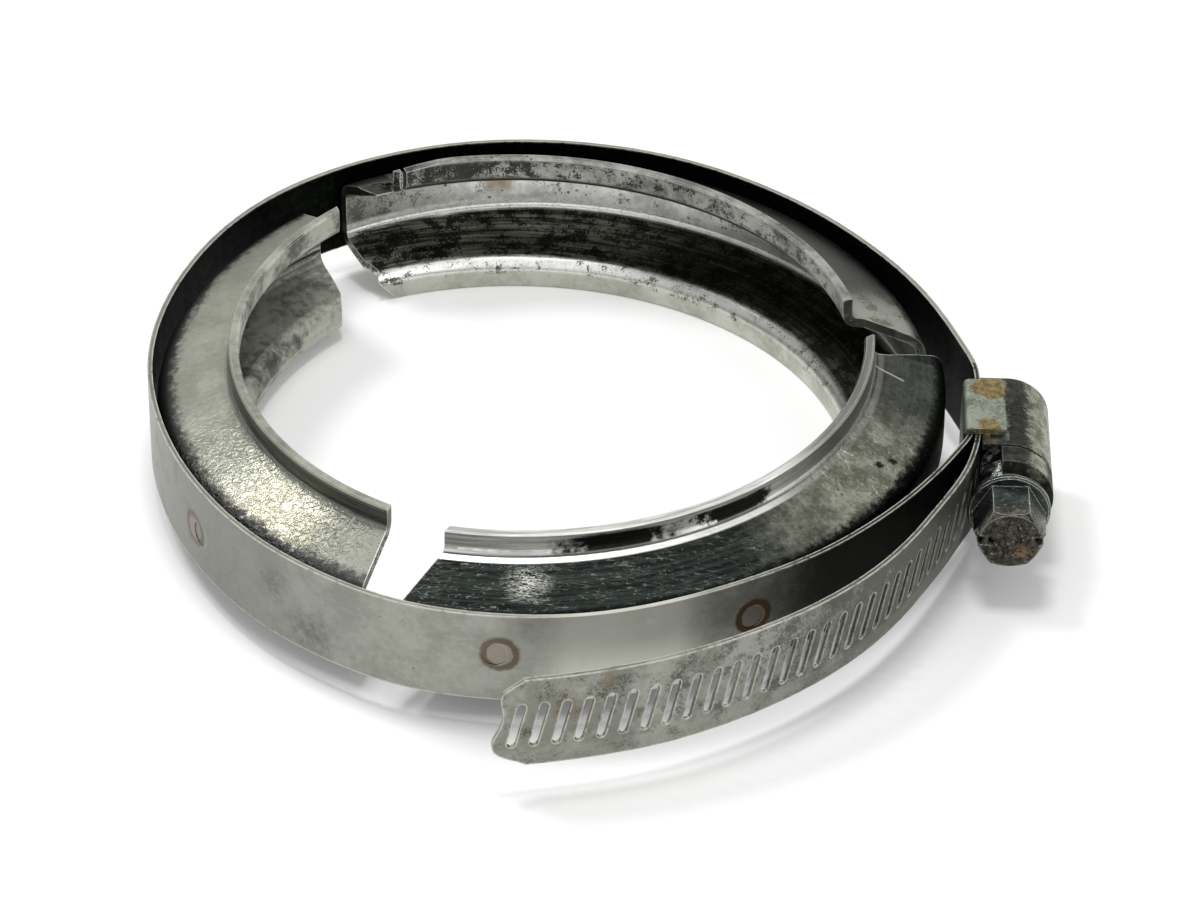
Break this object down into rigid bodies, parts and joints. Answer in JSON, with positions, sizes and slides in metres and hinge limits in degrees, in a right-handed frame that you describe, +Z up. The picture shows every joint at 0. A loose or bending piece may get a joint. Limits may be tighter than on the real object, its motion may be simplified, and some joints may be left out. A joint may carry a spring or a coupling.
{
  "type": "v band clamp",
  "caption": "Ring clamp of rolled V-section retainers inside a flat strap that a worm screw draws tight round a flanged joint.",
  "frame": {"origin": "on the axis of the ring, level with the lower edges of the V retainers' lips, where the clamp lies on a floor", "axes": "+Z up along the axis of the ring; +X from the ring's axis towards the worm screw; the free tail of the strap ends on the -Y side"},
  "size_m": [0.1171, 0.1241, 0.0208],
  "materials": {
    "strap": "satin, worn and greasy",
    "retainer": "heat stained and pitted",
    "housing": "satin, stained",
    "screw": "crusted and dark"
  },
  "bodies": {
    "clamp": {"band_strap": "strap", "v_retainer_left": "retainer", "v_retainer_front": "retainer", "v_retainer_rear": "retainer", "screw_housing": "housing", "housing_saddle": "housing"},
    "screw": {"worm_screw": "screw"}
  },
  "joints": [
    {"name": "screw_turn", "type": "hinge", "parent": "clamp", "child": "screw", "pos_m": [0.05914, -0.0107, 0.0104], "axis": [-0.0436, -0.999, 0], "continuous": true}
  ]
}
